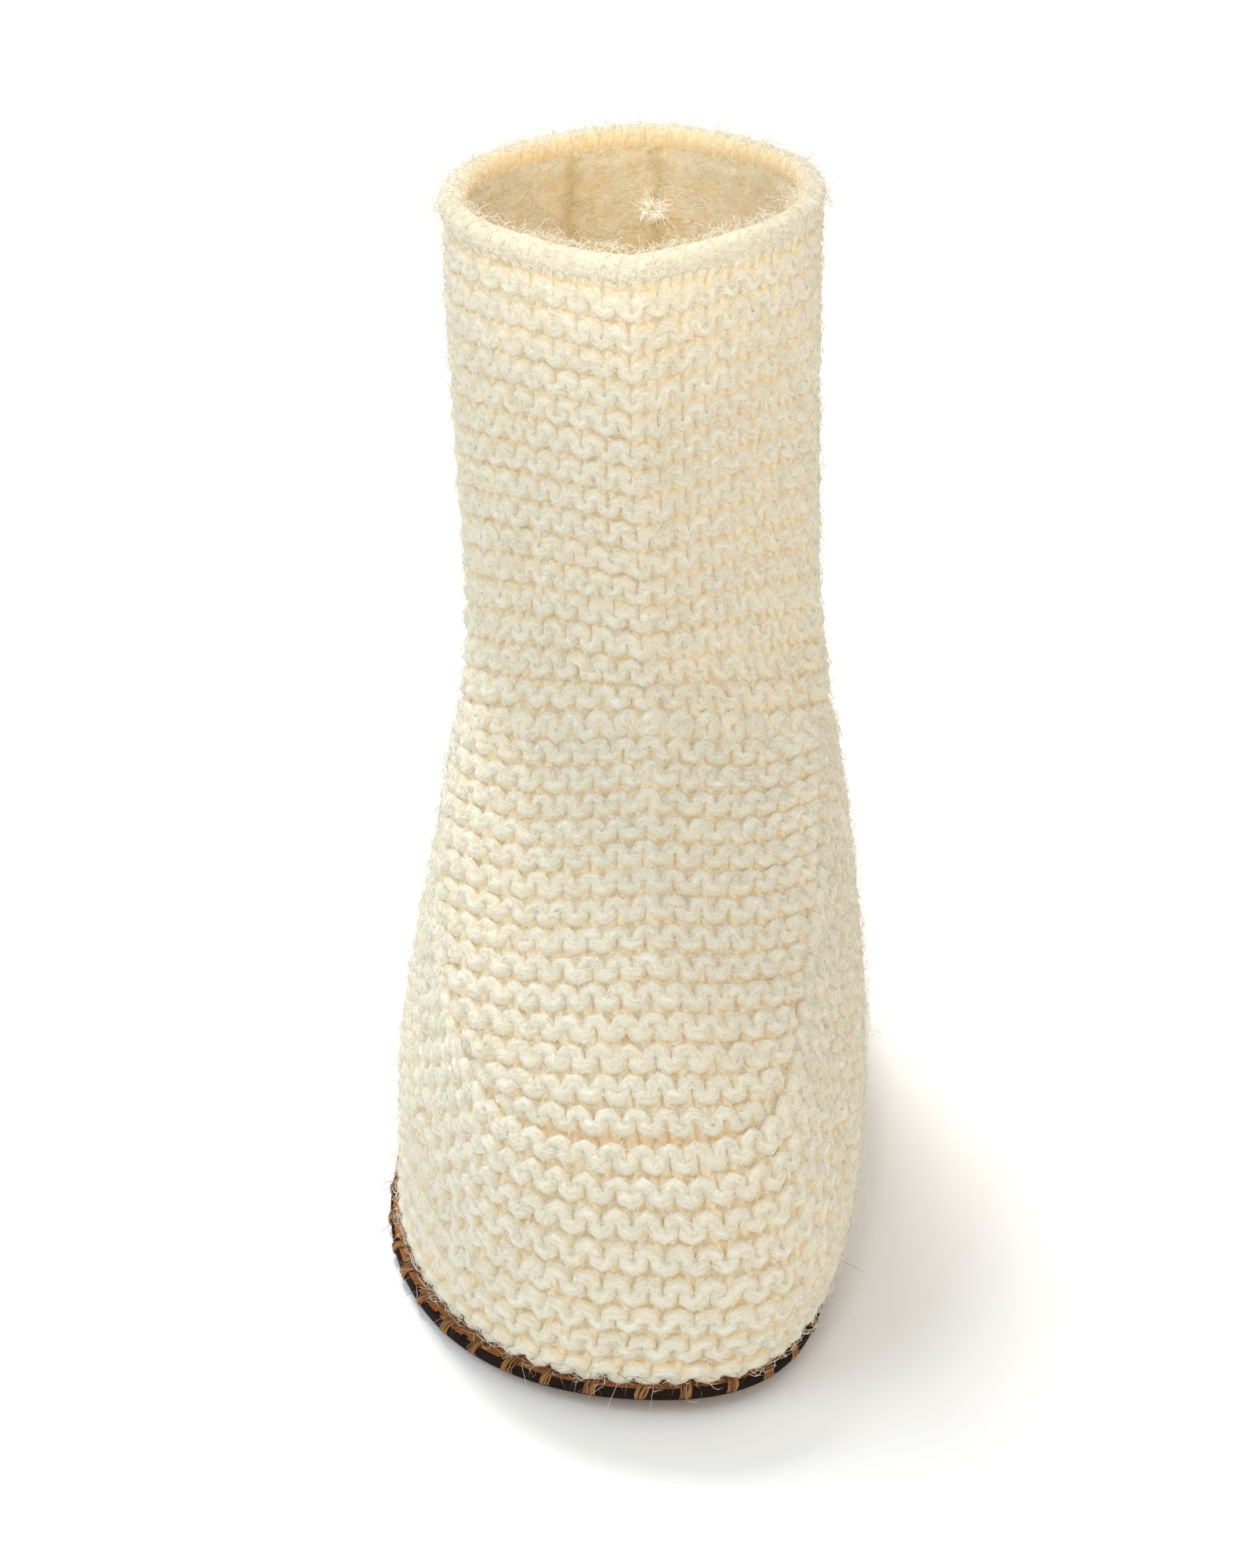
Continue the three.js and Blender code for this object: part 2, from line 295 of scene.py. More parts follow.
def addRange(tree, value, start, end, most=1.0, curve="LINEAR"):
    return addNode(tree, "ShaderNodeMapRange", {"Value": value, "From Min": start, "From Max": end,
                                                "To Max": most}, interpolation_type=curve)["Result"]


def addMix(tree, factor, first, second, blend="MIX"):
    return addNode(tree, "ShaderNodeMix", {"Factor": factor, "A": first, "B": second},
                   data_type="RGBA", blend_type=blend)["Result"]


def addAttribute(tree, name, output):
    return addNode(tree, "ShaderNodeAttribute", {}, attribute_name=name)[output]


def addObjectPlace(tree):
    return addNode(tree, "ShaderNodeTexCoord", {})["Object"]


def addBump(tree, shader, height, strength, depth):
    bump = addNode(tree, "ShaderNodeBump", {"Height": height, "Strength": strength, "Distance": depth * mm})
    setInputs(tree, shader, {"Normal": bump["Normal"]})


def newGroup(name, inputs, outputs):
    # sockets are given as their names and kinds
    group = bpy.data.node_groups.new(name, "ShaderNodeTree")
    for way, sockets in (("INPUT", inputs), ("OUTPUT", outputs)):
        for label, kind in sockets.items():
            group.interface.new_socket(label, in_out=way, socket_type="NodeSocket" + kind)
    return group, group.nodes.new("NodeGroupInput").outputs, group.nodes.new("NodeGroupOutput")


def makeTwoTone():
    # two colours of one finish, mixed by a soft and a fine noise
    inputs = {"Vector": "Vector", "Light": "Color", "Dark": "Color", "Scale": "Float", "Fine": "Float"}
    group, given, result = newGroup("twoTone", inputs, {"Color": "Color"})
    soft = addNoise(group, given["Vector"], given["Scale"], detail=3.0, roughness=0.6)
    fineScale = addMath(group, "MULTIPLY", given["Scale"], given["Fine"])
    fine = addNoise(group, given["Vector"], fineScale, detail=2.0, roughness=0.7)
    total = addMath(group, "MULTIPLY_ADD", fine, 0.6, soft)
    spread = addRange(group, total, 0.55, 1.05)
    setInputs(group, result, {"Color": addMix(group, spread, given["Dark"], given["Light"])})
    return group


def makeDepthShading():
    # painted shade by how far a place stands out of the wall: the lining and the gaps between the loops get
    # warmer colours than the crests; the wool's painted glow is graded the same way
    inputs = {"Depth": "Float", "Crest": "Color", "Gap": "Color", "Lining": "Color",
              "Gap Depth": "Float", "Crest Depth": "Float", "Lining Depth": "Float", "Wall Depth": "Float"}
    group, given, result = newGroup("depthShading", inputs, {"Color": "Color"})
    raised = addRange(group, given["Depth"], given["Gap Depth"], given["Crest Depth"], curve="SMOOTHSTEP")
    outside = addRange(group, given["Depth"], given["Lining Depth"], given["Wall Depth"])
    outer = addMix(group, raised, given["Gap"], given["Crest"])
    setInputs(group, result, {"Color": addMix(group, outside, given["Lining"], outer)})
    return group


def makeYarnFibres():
    # fibres along the strand with a finer matting, as streaks in a colour and as a height
    inputs = {"Strand": "Vector", "Object": "Vector", "Color": "Color", "Dark": "Color", "Light": "Color",
              "Fibre Scale": "Float", "Matting Scale": "Float"}
    group, given, result = newGroup("yarnFibres", inputs, {"Color": "Color", "Height": "Float"})
    fibres = addNoise(group, given["Strand"], given["Fibre Scale"],
                      detail=5.0, roughness=0.65, distortion=0.4)
    matting = addNoise(group, given["Object"], given["Matting Scale"],
                       detail=4.0, roughness=0.7, distortion=1.5)
    height = addMath(group, "MULTIPLY_ADD", matting, 0.6, fibres)
    streaks = addMix(group, addRange(group, height, 0.62, 0.96), given["Dark"], given["Light"])
    streaked = addMix(group, 1.0, given["Color"], streaks, "MULTIPLY")
    setInputs(group, result, {"Color": streaked, "Height": height})
    return group


twoTone = makeTwoTone()
depthShading = makeDepthShading()
yarnFibres = makeYarnFibres()


def addTwoTone(tree, vector, light, dark, scale, fine):
    return addNode(tree, "ShaderNodeGroup", {"Vector": vector, "Light": light, "Dark": dark,
                                             "Scale": scale, "Fine": fine}, node_tree=twoTone)["Color"]


def newMaterial(name, inputs):
    material = bpy.data.materials.new(name)
    material.use_nodes = True
    material.cycles.emission_sampling = "NONE"      # the wool's glow is too faint to sample as a lamp
    tree = material.node_tree
    shader = tree.nodes["Principled BSDF"]
    setInputs(tree, shader, inputs)
    return material, tree, shader


woolLook = {
    "crest": (0.95, 0.94, 0.84, 1), "crestWarm": (0.945, 0.91, 0.77, 1),
    # gap and lining colours: painted warm shade between the loops and inside the shoe
    "gap": (0.95, 0.78, 0.51, 1), "gapDark": (0.92, 0.69, 0.40, 1),
    "lining": (0.96, 0.83, 0.56, 1),
    "crestTone": (90.0, 9.0), "gapTone": (160.0, 5.0),
    "streakDark": (0.89, 0.81, 0.66, 1), "streakLight": (1.0, 1.0, 1.0, 1),
    # glow colours: painted light that stands in for light coming through the wool, most in the gaps
    "glowCrest": (0.085, 0.083, 0.071, 1), "glowGap": (0.21, 0.165, 0.105, 1),
    "glowLining": (0.07, 0.05, 0.026, 1),
    "gapDepth": -0.3, "crestDepth": 1.7,            # millimetres out from the middle of the wall
    "glowGapDepth": 0.1, "glowCrestDepth": 1.75,
    "liningDepth": -0.9, "wallDepth": -0.2,
    "fibreScale": 2.6, "mattingScale": 1700.0, "fibreBump": 0.8, "fibreDepth": 0.45,
}
# the collar roll's wool: the same yarn with darker crest and glow colours, painted shade that tones down the
# light on the roll's top
rimShadedLook = dict(woolLook, crest=(0.90, 0.875, 0.76, 1), crestWarm=(0.89, 0.84, 0.69, 1),
               glowCrest=(0.07, 0.064, 0.049, 1))


def makeWool(name, look):
    # knitting yarn: painted warm shade between the loops and on the lining, and a painted glow that stands in
    # for light coming through the wool
    sheen = {"Sheen Weight": 0.8, "Sheen Tint": (1.0, 0.96, 0.86, 1)}
    material, tree, shader = newMaterial(name, {"Roughness": 0.9, "Specular IOR Level": 0.2, **sheen})
    place = addObjectPlace(tree)
    depths = {"Depth": addAttribute(tree, "depth", "Fac"), "Lining Depth": look["liningDepth"],
              "Wall Depth": look["wallDepth"]}
    color = addNode(tree, "ShaderNodeGroup", {
        "Crest": addTwoTone(tree, place, look["crest"], look["crestWarm"], *look["crestTone"]),
        "Gap": addTwoTone(tree, place, look["gap"], look["gapDark"], *look["gapTone"]),
        "Lining": look["lining"], "Gap Depth": look["gapDepth"], "Crest Depth": look["crestDepth"], **depths,
    }, node_tree=depthShading)["Color"]
    glow = addNode(tree, "ShaderNodeGroup", {
        "Crest": look["glowCrest"], "Gap": look["glowGap"], "Lining": look["glowLining"],
        "Gap Depth": look["glowGapDepth"], "Crest Depth": look["glowCrestDepth"], **depths,
    }, node_tree=depthShading)["Color"]
    fibres = addNode(tree, "ShaderNodeGroup", {
        "Strand": addAttribute(tree, "strand", "Vector"), "Object": place, "Color": color,
        "Dark": look["streakDark"], "Light": look["streakLight"],
        "Fibre Scale": look["fibreScale"], "Matting Scale": look["mattingScale"],
    }, node_tree=yarnFibres)
    setInputs(tree, shader, {"Base Color": fibres["Color"], "Emission Color": glow, "Emission Strength": 1.0})
    addBump(tree, shader, fibres["Height"], look["fibreBump"], look["fibreDepth"])
    return material


# Two painted crease shadows run down the lining at the back of the shaft
backCreaseShadows = {
    "middle": -3.9, "half": 5.8, "width": 1.9, "behind": 45.0,
    "waver": 3.4, "waverScale": 260.0,
    "color": (0.76, 0.58, 0.31, 1), "strength": 0.85,
}


def addBackCreaseShadows(tree, place, color, facts):
    split = addNode(tree, "ShaderNodeSeparateXYZ", {"Vector": place})
    waver = addNoise(tree, place, facts["waverScale"], 2.0)
    middle = (facts["middle"] + facts["waver"] / 2) * mm
    moved = addMath(tree, "MULTIPLY_ADD", waver, facts["waver"] * mm, split["X"])
    apart = addMath(tree, "ABSOLUTE", addMath(tree, "SUBTRACT", moved, middle))
    away = addMath(tree, "ABSOLUTE", addMath(tree, "SUBTRACT", apart, facts["half"] * mm))
    line = addRange(tree, away, facts["width"] * mm, 0.0, facts["strength"], "SMOOTHSTEP")
    behind = addMath(tree, "GREATER_THAN", split["Y"], facts["behind"] * mm)
    return addMix(tree, addMath(tree, "MULTIPLY", line, behind), color, facts["color"])


feltLook = {
    "roughness": 0.95, "specular": 0.5, "sheen": 0.3, "sheenTint": (1.0, 0.9, 0.75, 1),
    "tone": 320.0, "toneFine": 4.0, "grain": 480.0, "grainDetail": (8.0, 0.75, 1.2),
    "bump": 0.7, "bumpDepth": 0.5, "glow": (0, 0, 0, 1),
}
leatherLook = {
    "roughness": 0.85, "specular": 0.25, "sheen": 0.0, "sheenTint": (1, 1, 1, 1),
    "tone": 420.0, "toneFine": 7.0, "grain": 1400.0, "grainDetail": (6.0, 0.7),
    "bump": 0.5, "bumpDepth": 0.4, "glow": (0, 0, 0, 1),
}


def makeSurface(name, look, lines=None):
    # felt or leather: two tones and a raised grain
    material, tree, shader = newMaterial(name, {
        "Roughness": look["roughness"], "Specular IOR Level": look["specular"],
        "Sheen Weight": look["sheen"], "Sheen Tint": look["sheenTint"],
        "Emission Color": look["glow"], "Emission Strength": 1.0,
    })
    place = addObjectPlace(tree)
    color = addTwoTone(tree, place, look["light"], look["dark"], look["tone"], look["toneFine"])
    # painted crease shadows, where given
    if lines:
        color = addBackCreaseShadows(tree, place, color, lines)
    setInputs(tree, shader, {"Base Color": color})
    addBump(tree, shader, addNoise(tree, place, look["grain"], *look["grainDetail"]), look["bump"],
            look["bumpDepth"])
    return material


hairLook = {
    "roughness": 0.75, "sheen": 0.2, "twist": 2.5, "twistDetail": 3.0, "bump": 0.5, "bumpDepth": 0.15,
    "glow": (0, 0, 0, 1),
}


def makeStrand(name, look):
    # thread or hair: the colour changes from strand to strand
    material, tree, shader = newMaterial(name, {
        "Roughness": look["roughness"], "Sheen Weight": look["sheen"],
        "Emission Color": look["glow"], "Emission Strength": 1.0,
    })
    color = addMix(tree, addAttribute(tree, "shade", "Fac"), look["dark"], look["light"])
    setInputs(tree, shader, {"Base Color": color})
    twist = addNoise(tree, addAttribute(tree, "strand", "Vector"), look["twist"], look["twistDetail"])
    addBump(tree, shader, twist, look["bump"], look["bumpDepth"])
    return material


creamWool = makeWool("creamWool", woolLook)
rimShadedWool = makeWool("rimShadedWool", rimShadedLook)
# the core's warm tones are painted shade between the loops and on the lining, its glow is painted light, and
# it carries the painted crease shadows
coreShadeAndGlow = makeSurface("coreShadeAndGlow", dict(feltLook, light=(0.99, 0.92, 0.74, 1), dark=(0.92, 0.72, 0.42, 1),
                                        glow=(0.07, 0.048, 0.022, 1), bumpDepth=1.8), backCreaseShadows)
feltInsole = makeSurface("feltInsole", dict(feltLook, light=(0.72, 0.62, 0.44, 1),
                                            dark=(0.60, 0.49, 0.32, 1)))
nubuckTop = makeSurface("nubuckTop", dict(leatherLook, light=(0.42, 0.16, 0.045, 1),
                                          dark=(0.24, 0.085, 0.028, 1)))
burnishedEdge = makeSurface("burnishedEdge", dict(leatherLook, light=(0.024, 0.013, 0.009, 1),
                                                  dark=(0.012, 0.007, 0.005, 1), specular=0.08,
                                                  tone=540.0, grain=1800.0))
suedeUnder = makeSurface("suedeUnder", dict(leatherLook, light=(0.30, 0.17, 0.085, 1),
                                            dark=(0.19, 0.105, 0.05, 1), roughness=0.9,
                                            tone=360.0, grain=1200.0, bump=0.6))
tanThread = makeStrand("tanThread", dict(hairLook, light=(0.44, 0.215, 0.075, 1),
                                         dark=(0.15, 0.065, 0.022, 1), roughness=0.9, sheen=0.0))
# the cream hairs and the fluff carry a painted glow, light that stands in for light coming through the wool;
# the fluff's is strong, to keep it white in the shaded lining
glowingCreamHair = makeStrand("glowingCreamHair", dict(hairLook, light=(0.95, 0.93, 0.83, 1), dark=(0.88, 0.80, 0.63, 1),
                                         glow=(0.06, 0.057, 0.046, 1)))
glowingFluffHair = makeStrand("glowingFluffHair", dict(hairLook, light=(0.98, 0.97, 0.94, 1), dark=(0.94, 0.92, 0.86, 1),
                                         glow=(0.4, 0.38, 0.33, 1)))
brownHair = makeStrand("brownHair", dict(hairLook, light=(0.50, 0.32, 0.17, 1), dark=(0.10, 0.055, 0.035, 1)))
print("materials ready")


# Pieces, and meshes made of strands

def ridePiece(piece, slotName, *nodes):
    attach(piece, "root")
    if nodes:
        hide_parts(*nodes)


def addPiece(name, mesh, *materials):
    for material in materials:
        mesh.materials.append(material)
    piece = bpy.data.objects.new(name, mesh)
    bpy.context.collection.objects.link(piece)
    return piece


def shellPiece(name, shell, *materials):
    mesh = bpy.data.meshes.new(name)
    shell.to_mesh(mesh)
    shell.free()
    return addPiece(name, mesh, *materials)


def smoothOutward(shell):
    bmesh.ops.recalc_face_normals(shell, faces=shell.faces)
    for face in shell.faces:
        face.smooth = True


def lengthAlong(points):
    # distance from the first point to each point, for lines stored on the first axis
    steps = np.linalg.norm(np.diff(points, axis=0), axis=-1)
    return np.concatenate([np.zeros((1, *steps.shape[1:])), np.cumsum(steps, axis=0)])


def strandMesh(name, strands, radius, rounds, material):
    # strands hold points in millimetres, a thickness factor for each, a closed flag and
    # any values to keep on the points; open strands taper to a point and are closed there
    curve = bpy.data.curves.new(name, "CURVE")
    curve.dimensions = "3D"
    curve.bevel_depth = radius * mm
    curve.bevel_resolution = rounds
    curve.use_fill_caps = False
    for strand in strands:
        points = strand["points"]
        spline = curve.splines.new("POLY")
        spline.points.add(len(points) - 1)
        flat = np.ones((len(points), 4))
        flat[:, :3] = points * mm
        spline.points.foreach_set("co", flat.ravel())
        thickness = np.array(strand["thickness"], float)
        if not strand["closed"]:
            thickness[[0, -1]] = 0
        spline.points.foreach_set("radius", thickness)
        spline.use_cyclic_u = bool(strand["closed"])
    made = bpy.data.objects.new(name + "Curve", curve)
    bpy.context.collection.objects.link(made)
    view = bpy.context.evaluated_depsgraph_get()
    mesh = bpy.data.meshes.new_from_object(made.evaluated_get(view))
    bpy.data.objects.remove(made)
    mesh.name = name
    addStrandValues(mesh, strands, 4 + 2 * rounds)
    shell = bmesh.new()
    shell.from_mesh(mesh)
    bmesh.ops.remove_doubles(shell, verts=shell.verts, dist=2e-6)       # closes the tapered ends
    smoothOutward(shell)
    shell.to_mesh(mesh)
    shell.free()
    print(name, len(mesh.polygons), "faces")
    return addPiece(name, mesh, material)


def addStrandValues(mesh, strands, sides):
    # where each vertex lies on its strand, how far out of the wall, and its strand's shade
    apart, stretch = 37.0, 0.35         # between one strand's pattern and the next, and along each
    places = np.empty(len(mesh.vertices) * 3)
    mesh.vertices.foreach_get("co", places)
    places = places.reshape(-1, sides, 3) / mm
    centres = np.concatenate([strand["points"] for strand in strands])
    out = places - centres[:, None]
    ring = np.arange(sides) * 2 * np.pi / sides
    along = []
    for i, strand in enumerate(strands):
        line = lengthAlong(strand["points"])
        # a closed strand counts up to its far side and back, so that its ends match
        along.append((np.minimum(line, line[-1] - line) if strand["closed"] else line) + apart * i)
    spot = np.empty((len(centres), sides, 3))
    spot[..., 0] = np.cos(ring)
    spot[..., 1] = np.sin(ring)
    spot[..., 2] = np.concatenate(along)[:, None] * stretch
    values = {"strand": spot.reshape(-1, 3)}
    if "normals" in strands[0]:
        normals = np.concatenate([strand["normals"] for strand in strands])
        depths = np.concatenate([strand["depths"] for strand in strands])
        values["depth"] = ((out * normals[:, None]).sum(axis=2) + depths[:, None]).ravel()
    if "shade" in strands[0]:
        shades = np.concatenate([np.full(len(strand["points"]), strand["shade"]) for strand in strands])
        values["shade"] = np.repeat(shades, sides)
    for name, data in values.items():
        kind, field = ("FLOAT_VECTOR", "vector") if data.ndim == 2 else ("FLOAT", "value")
        layer = mesh.attributes.new(name, kind, "POINT")
        layer.data.foreach_set(field, data.ravel())


# Knitting: garter stitch in panels, each a grid of places on the wall

knit = {
    "yarn": 1.14,           # radius
    "lean": 0.12,           # how much the loops bulge over their feet
    "reach": 1.03,          # loop height in rows, so that neighbouring rows interlock
    "stepsPerStitch": 10,
    "grid": 8,              # places of a panel for each stitch
    "lines": 80,            # lines of a ring's panel between its two edges
    "spareLines": 8,        # more lines past each edge
    "jitter": 0.05, "depthJitter": 0.07, "thicknessJitter": 0.05,
    "tuck": 0.6,            # how far row ends dive into the flap's seam
    "tuckLength": 0.6,      # stitches over which they do so
    "wedge": 14.0,          # degrees over which a short row grows to its full height
    "shortBy": 6.0,         # degrees of that row's ends that have no yarn
}
# A sway says how far loops swing in front of and behind the middle of the wall. Runs of rows
# give their number and the turns in degrees between which they exist, or none for all round
shaftWork = {
    "stitches": 40, "sway": 0.78, "top": 127.9, "joint": 0.4,
    "runs": [(26, None), (2, (75, 200)), (2, None), (2, (95, 200)), (4, None), (1, (100, 200))],
}
wallWork = {
    "stitches": 76, "sway": 0.96, "foot": 0.1, "joint": -0.2,
    "runs": [(4, None), (2, (38, 200)), (4, None), (2, (54, 200)), (4, None), (2, (60, 124)), (2, None),
             (2, (70, 112)), (2, None)],
}
flapWork = {
    "rows": 29, "stitch": 3.75, "sway": 0.86,
    "half": 14,             # stitches kept on either side of the flap's middle
    "top": 62.5,            # height where the flap leaves the shaft
    "lowest": 24.0, "highest": 84.0,                        # heights that its rows keep between
    "edgeSpare": 12.0, "topSpare": 8.0, "toeSpare": 5.0,    # its edges are followed past their ends
    "endSpare": 0.25,       # stitches by which rows pass the seam
    "widest": 128.0,        # degrees
}
# What the front crease does to the shaft's loops: rows dip, and loops beside it are pressed flatter
pressed = {
    "turn": 0.10, "radius": 26.0, "dip": 1.3, "dipWidth": 7.0,
    "flatter": 0.27, "from": 0.05, "fadeIn": 0.25, "to": 1.5, "fadeOut": 0.5,
}


def rowWeight(span, turn):
    if span is None:
        return 1 + 0 * turn
    angle = np.degrees(np.abs(turn))
    return smooth01((angle - span[0]) / knit["wedge"]) * smooth01((span[1] - angle) / knit["wedge"])


def makePanel(levels, heightsAt, turns, work):
    # grid of places in the middle of the wall: a line for each level, at even stitches along
    # it, all round from the heel, or out from the toe's middle on the flap
    closed = "stitches" in work
    start, end = (0, work["stitches"]) if closed else (-work["half"], work["half"])
    wanted = np.arange(start * knit["grid"], end * knit["grid"] + 1) / knit["grid"]
    lines = []
    for level in levels:
        place, normal = wallPoint(heightsAt(level), turns, -shoe["wall"] / 2)
        along = lengthAlong(place)
        if closed:
            along = along * end / along[-1]
        else:
            along = (along - along[len(turns) // 2]) / work["stitch"]
        lines.append([np.interp(wanted, along, column) for column in (*place.T, *normal.T, turns)])
    return {"grid": np.array(lines).transpose(0, 2, 1), "levels": levels, "start": start, "closed": closed,
            "stitches": end - start}


def panelAt(panel, across, level):
    # places, normals and turns at stitch numbers and levels of a panel
    grid = panel["grid"]
    lines, count = grid.shape[0] - 1, grid.shape[1] - 1
    u = (across - panel["start"]) * knit["grid"]
    u = u % count if panel["closed"] else np.clip(u, 0, count - 1e-6)
    low, high = panel["levels"][0], panel["levels"][-1]
    v = np.clip((level - low) / (high - low) * lines, 0, lines - 1e-6)
    i, j = v.astype(int), u.astype(int)
    fv, fu = (v - i)[:, None], (u - j)[:, None]
    near = grid[i, j] * (1 - fu) + grid[i, j + 1] * fu
    far = grid[i + 1, j] * (1 - fu) + grid[i + 1, j + 1] * fu
    found = near * (1 - fv) + far * fv
    normal = found[:, 3:6]
    return found[:, :3], normal / np.linalg.norm(normal, axis=1, keepdims=True), found[:, 6]


def slowNoise(count, every, size):
    # soft irregularity, a new random value at each step and even between them
    knots = rng.normal(0, size, count // every + 3)
    return np.interp(np.arange(count) / every, np.arange(len(knots)), knots)


def yarnRow(panel, rowLevel, start, end, sway, standing=None):
    # one row of loops between two stitch numbers; its heads lie in front when sway is positive
    steps = knit["stepsPerStitch"]
    total = round((end - start) * steps)
    closed = panel["closed"] and abs(end - start - panel["stitches"]) < 1e-6
    phase = start + (end - start) * np.arange(total) / (total if closed else total - 1)
    level = np.full(total, 0.5)
    for _ in range(4):      # the level of a row depends on the turn there, and that on the level
        level, spacing = rowLevel(panelAt(panel, phase, level)[2])
    angle = 2 * np.pi * (phase % 1) - np.pi
    across = phase + knit["lean"] * np.sin(2 * angle) + slowNoise(total, steps // 2, knit["jitter"])
    swing = np.cos(angle)
    reach = knit["reach"] * (1 + slowNoise(total, steps, knit["jitter"]))
    place, normal, turns = panelAt(panel, across, level + spacing * reach * swing)
    depth = sway * swing * (standing(turns) if standing else 1)
    depth = depth + slowNoise(total, steps // 2, knit["depthJitter"])
    if not closed:
        ends = np.minimum(phase - start, end - phase)
        depth = depth - knit["tuck"] * (1 - smooth01(ends / knit["tuckLength"]))
    return {
        "points": place + normal * depth[:, None],
        "normals": normal,
        "depths": depth,
        "thickness": 1 + slowNoise(total, steps // 3, knit["thicknessJitter"]),
        "closed": closed,
    }


def knitRing(work, start, end, sway, dip=None, standing=None):
    # all rows of a ring; a short row runs round the heel, or along each side of the ankle
    rows = [span for count, span in work["runs"] for _ in range(count)]
    stitches, lines, spare = work["stitches"], knit["lines"], knit["spareLines"]
    even = evenHeights(allRound, start, end)
    heights = (lambda level: even(level) + dip(level, allRound)) if dip else even
    levels = np.linspace(-spare / lines, 1 + spare / lines, lines + 2 * spare + 1)
    panel = makePanel(levels, heights, allRound, work)
    strands = []
    for k, span in enumerate(rows):
        swing = sway if k % 2 else -sway

        def rowLevel(turn, k=k):
            weights = np.array([rowWeight(other, turn) for other in rows])
            return (weights[:k].sum(axis=0) + weights[k] / 2) / weights.sum(axis=0), 1 / weights.sum(axis=0)

        if span is None:
            strands.append(yarnRow(panel, rowLevel, 0.0, float(stitches), swing, standing))
            continue
        line = panel["grid"][round((k + 0.5) / len(rows) * lines) + spare, :, 6]
        number = np.arange(len(line)) / knit["grid"]
        low, high = np.radians(span[0] + knit["shortBy"]), np.radians(span[1] - knit["shortBy"])
        for ends in [(low, -low)] if high > np.pi else [(-high, -low), (low, high)]:
            a, b = np.interp(ends, line, number)
            strands.append(yarnRow(panel, rowLevel, a, b if b > a else b + stitches, swing, standing))
    return strands


def pressedFlat(turns):
    # the loops stand lower where the shaft was pressed, on the inner side of its front crease
    past = smooth01((turns - pressed["from"]) / pressed["fadeIn"])
    return 1 - pressed["flatter"] * past * smooth01((pressed["to"] - turns) / pressed["fadeOut"])


def creaseDip(level, turns):
    # rows of the shaft run down to the front crease, but not its first and last ones
    away = np.abs(turns - pressed["turn"]) * pressed["radius"]
    inside = np.clip(np.sin(np.pi * np.clip(level, 0, 1)) * 2, 0, 1)
    return -pressed["dip"] * np.exp(-away / pressed["dipWidth"]) * inside


def evenHeights(turns, start, end):
    # heights at levels 0 to 1 between two rings, evenly along the surface, since it slopes
    shares = np.linspace(0, 1, 80)[:, None]
    heights = start + (end - start) * shares
    along = lengthAlong(upperPoint(heights, turns + 0 * heights))
    along = along / along[-1]

    def heightsAt(level):
        inside = min(max(level, 0), 1)
        found = [np.interp(inside, along[:, i], heights[:, i]) for i in range(len(turns))]
        return np.array(found) + (end - start) * (level - inside)

    return heightsAt


def spotBetween(points, values, start, end, share):
    # value at a share of the way, measured along the line, from one value to another
    along = lengthAlong(points)
    order = -1 if values[0] > values[-1] else 1
    a, b = (np.interp(order * value, order * values, along) for value in (start, end))
    return float(np.interp(a + (b - a) * share, along, values))


def flapSection(share, turns):
    # heights of the row across the instep at a share of the flap's length; each row lies in
    # a plane through its two ends on the seam and its middle on the front of the foot
    work = flapWork
    back, front = seam["riseEnd"] + work["edgeSpare"], seam["riseStart"] - work["edgeSpare"]
    edgeTurns = np.radians(np.linspace(back, front, 500))
    middleHeights = np.linspace(work["top"] + work["topSpare"], seam["toeHeight"] - work["toeSpare"], 500)
    edge = upperPoint(seamHeight(edgeTurns), edgeTurns)
    middle = upperPoint(middleHeights, 0 * middleHeights)
    turn = spotBetween(edge, edgeTurns, np.radians(seam["riseEnd"]), np.radians(seam["riseStart"]), share)
    top = spotBetween(middle, middleHeights, work["top"], seam["toeHeight"], share)
    ends = upperPoint(seamHeight(np.array([turn, -turn])), np.array([turn, -turn]))
    centre = upperPoint(np.array([top]), np.array([0.0]))[0]
    across = np.cross(ends[0] - ends[1], centre - ends.mean(axis=0))
    across = across * np.sign(across[1] + across[2])
    low = np.full(len(turns), work["lowest"])
    high = np.full(len(turns), work["highest"])
    for _ in range(26):     # halves the range until it is far finer than the yarn
        heights = (low + high) / 2
        above = (upperPoint(heights, turns) - centre) @ across > 0
        high = np.where(above, heights, high)
        low = np.where(above, low, heights)
    return heights, turn


def jointHeight(turn):
    # where the wall's rows meet the shaft's behind the flap
    angle = np.degrees(np.abs(turn))
    fall = smooth01((angle - seam["riseEnd"]) / seam["behind"])
    behind = seam["ankleHeight"] - (seam["ankleHeight"] - seam["heelHeight"]) * fall
    return np.where(angle < seam["riseEnd"], seamHeight(turn), behind)


def knitShaft(work):
    ahead = np.degrees(np.abs(allRound)) < seam["riseEnd"]
    front = flapSection(-0.5 / flapWork["rows"], allRound)[0]
    end = np.where(ahead, front, jointHeight(allRound) + work["joint"])
    return knitRing(work, work["top"] + 0 * allRound, end, work["sway"], creaseDip, pressedFlat)


def knitWall(work):
    start = footHeight(allRound) + work["foot"]
    return knitRing(work, start, jointHeight(allRound) + work["joint"], -work["sway"])


